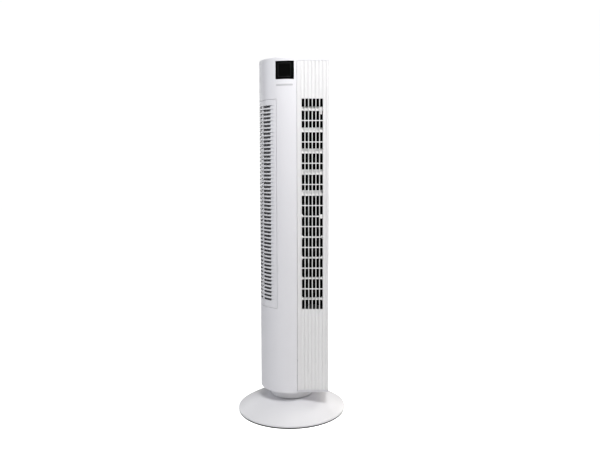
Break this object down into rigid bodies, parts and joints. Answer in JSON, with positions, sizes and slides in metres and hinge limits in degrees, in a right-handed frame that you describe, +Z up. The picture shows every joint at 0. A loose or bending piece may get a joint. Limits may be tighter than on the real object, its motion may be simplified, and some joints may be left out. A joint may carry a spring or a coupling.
{
  "type": "tower fan",
  "caption": "Tall tower fan on a round domed base, with a flat ribbed air outlet, pivoting vanes, a slotted side intake and a display.",
  "frame": {"origin": "on the floor, on the upright axis that the tower swings about, at the centre of the round base", "axes": "+Z up; the outlet panel faces -Y, the intake grille is on the -X side"},
  "size_m": [0.2434, 0.2434, 0.786],
  "materials": {
    "shell_white": "satin",
    "vane_white": "satin",
    "button_grey": "satin",
    "dark_plastic": "matte",
    "grey_plastic": "matte",
    "screen_black": "gloss",
    "led_module": "matte",
    "circuit_board": "satin",
    "rubber": "matte",
    "steel": "satin",
    "ballast_iron": "rough",
    "bronze": "satin"
  },
  "bodies": {
    "stand": {"base_disc": "shell_white", "base_bottom_cover": "dark_plastic", "base_feet": "rubber", "base_screws": "steel", "base_ballast": "ballast_iron", "pivot_hub": "grey_plastic", "pivot_screws": "steel", "slide_ring": "grey_plastic", "retaining_plate": "steel", "retaining_screws": "steel"},
    "tower": {"turntable": "shell_white", "bottom_cap": "shell_white", "left_shell": "shell_white", "rear_shell": "shell_white", "top_cap": "shell_white", "intake_grille": "shell_white", "outlet_grille": "shell_white", "upper_deck": "dark_plastic", "volute_duct": "dark_plastic", "tongue": "dark_plastic", "vane_frame": "dark_plastic", "cord_gland": "dark_plastic", "intake_filter": "grey_plastic", "motor_bracket": "grey_plastic", "capacitor": "grey_plastic", "display_window": "screen_black", "led_display": "led_module", "control_board": "circuit_board", "display_board": "circuit_board", "bearing_rubber": "rubber", "turntable_screws": "steel", "cap_screws": "steel", "motor_screws": "steel", "swing_motor_screws": "steel", "stator": "steel", "swing_motor": "steel", "motor_can": "steel", "upper_bearing": "bronze"},
    "impeller": {"impeller": "dark_plastic", "upper_axle": "steel", "rotor": "steel", "motor_shaft": "steel"},
    "crank": {"crank": "grey_plastic"},
    "lower_vane_1": {"lower_vane_1": "vane_white"},
    "lower_vane_2": {"lower_vane_2": "vane_white"},
    "lower_vane_3": {"lower_vane_3": "vane_white"},
    "lower_vane_4": {"lower_vane_4": "vane_white"},
    "lower_vane_5": {"lower_vane_5": "vane_white"},
    "upper_vane_1": {"upper_vane_1": "vane_white"},
    "upper_vane_2": {"upper_vane_2": "vane_white"},
    "upper_vane_3": {"upper_vane_3": "vane_white"},
    "upper_vane_4": {"upper_vane_4": "vane_white"},
    "upper_vane_5": {"upper_vane_5": "vane_white"},
    "timer_button": {"timer_button": "button_grey"},
    "mode_button": {"mode_button": "button_grey"},
    "power_button": {"power_button": "button_grey"},
    "speed_button": {"speed_button": "button_grey"},
    "swing_button": {"swing_button": "button_grey"},
    "lower_link_rod": {"lower_link_rod": "grey_plastic"},
    "upper_link_rod": {"upper_link_rod": "grey_plastic"}
  },
  "joints": [
    {"name": "oscillation", "type": "hinge", "parent": "stand", "child": "tower", "pos_m": [0, 0, 0.06], "axis": [0, 0, 1], "range_deg": [-33, 33]},
    {"name": "impeller_spin", "type": "hinge", "parent": "tower", "child": "impeller", "pos_m": [0, 0, 0.47], "axis": [0, 0, 1], "continuous": true},
    {"name": "crank_spin", "type": "hinge", "parent": "tower", "child": "crank", "pos_m": [0, 0.03, 0.068], "axis": [0, 0, 1], "continuous": true},
    {"name": "lower_vane_1_tilt", "type": "hinge", "parent": "tower", "child": "lower_vane_1", "pos_m": [0.0475, -0.05, 0.44718], "axis": [1, 0, 0], "range_deg": [-21, 34]},
    {"name": "lower_vane_2_tilt", "type": "hinge", "parent": "tower", "child": "lower_vane_2", "pos_m": [0.0475, -0.05, 0.40176], "axis": [1, 0, 0], "range_deg": [-21, 34]},
    {"name": "lower_vane_3_tilt", "type": "hinge", "parent": "tower", "child": "lower_vane_3", "pos_m": [0.0475, -0.05, 0.35634], "axis": [1, 0, 0], "range_deg": [-21, 34]},
    {"name": "lower_vane_4_tilt", "type": "hinge", "parent": "tower", "child": "lower_vane_4", "pos_m": [0.0475, -0.05, 0.31092], "axis": [1, 0, 0], "range_deg": [-21, 34]},
    {"name": "lower_vane_5_tilt", "type": "hinge", "parent": "tower", "child": "lower_vane_5", "pos_m": [0.0475, -0.05, 0.2655], "axis": [1, 0, 0], "range_deg": [-21, 34]},
    {"name": "lower_link_lift", "type": "slide", "parent": "tower", "child": "lower_link_rod", "axis": [0, 0, 1], "range_m": [-0.00283, 0.00457]},
    {"name": "upper_vane_1_tilt", "type": "hinge", "parent": "tower", "child": "upper_vane_1", "pos_m": [0.0475, -0.05, 0.67968], "axis": [1, 0, 0], "range_deg": [-49, 6]},
    {"name": "upper_vane_2_tilt", "type": "hinge", "parent": "tower", "child": "upper_vane_2", "pos_m": [0.0475, -0.05, 0.63426], "axis": [1, 0, 0], "range_deg": [-49, 6]},
    {"name": "upper_vane_3_tilt", "type": "hinge", "parent": "tower", "child": "upper_vane_3", "pos_m": [0.0475, -0.05, 0.58884], "axis": [1, 0, 0], "range_deg": [-49, 6]},
    {"name": "upper_vane_4_tilt", "type": "hinge", "parent": "tower", "child": "upper_vane_4", "pos_m": [0.0475, -0.05, 0.54342], "axis": [1, 0, 0], "range_deg": [-49, 6]},
    {"name": "upper_vane_5_tilt", "type": "hinge", "parent": "tower", "child": "upper_vane_5", "pos_m": [0.0475, -0.05, 0.498], "axis": [1, 0, 0], "range_deg": [-49, 6]},
    {"name": "upper_link_lift", "type": "slide", "parent": "tower", "child": "upper_link_rod", "axis": [0, 0, 1], "range_m": [-0.00659, 0.00082]},
    {"name": "timer_button_press", "type": "slide", "parent": "tower", "child": "timer_button", "axis": [0, 0, -1], "range_m": [0, 0.0012], "stiffness_N_per_m": 400, "springref_m": -0.001},
    {"name": "mode_button_press", "type": "slide", "parent": "tower", "child": "mode_button", "axis": [0, 0, -1], "range_m": [0, 0.0012], "stiffness_N_per_m": 400, "springref_m": -0.001},
    {"name": "power_button_press", "type": "slide", "parent": "tower", "child": "power_button", "axis": [0, 0, -1], "range_m": [0, 0.0012], "stiffness_N_per_m": 400, "springref_m": -0.001},
    {"name": "speed_button_press", "type": "slide", "parent": "tower", "child": "speed_button", "axis": [0, 0, -1], "range_m": [0, 0.0012], "stiffness_N_per_m": 400, "springref_m": -0.001},
    {"name": "swing_button_press", "type": "slide", "parent": "tower", "child": "swing_button", "axis": [0, 0, -1], "range_m": [0, 0.0012], "stiffness_N_per_m": 400, "springref_m": -0.001}
  ],
  "couplings": [
    {"joint": "lower_vane_2_tilt", "follows": "lower_vane_1_tilt", "ratio": 1},
    {"joint": "lower_vane_3_tilt", "follows": "lower_vane_1_tilt", "ratio": 1},
    {"joint": "lower_vane_4_tilt", "follows": "lower_vane_1_tilt", "ratio": 1},
    {"joint": "lower_vane_5_tilt", "follows": "lower_vane_1_tilt", "ratio": 1},
    {"joint": "lower_link_lift", "follows": "lower_vane_1_tilt", "m_per_rad": 0.007689},
    {"joint": "upper_vane_2_tilt", "follows": "upper_vane_1_tilt", "ratio": 1},
    {"joint": "upper_vane_3_tilt", "follows": "upper_vane_1_tilt", "ratio": 1},
    {"joint": "upper_vane_4_tilt", "follows": "upper_vane_1_tilt", "ratio": 1},
    {"joint": "upper_vane_5_tilt", "follows": "upper_vane_1_tilt", "ratio": 1},
    {"joint": "upper_link_lift", "follows": "upper_vane_1_tilt", "m_per_rad": 0.007689}
  ]
}
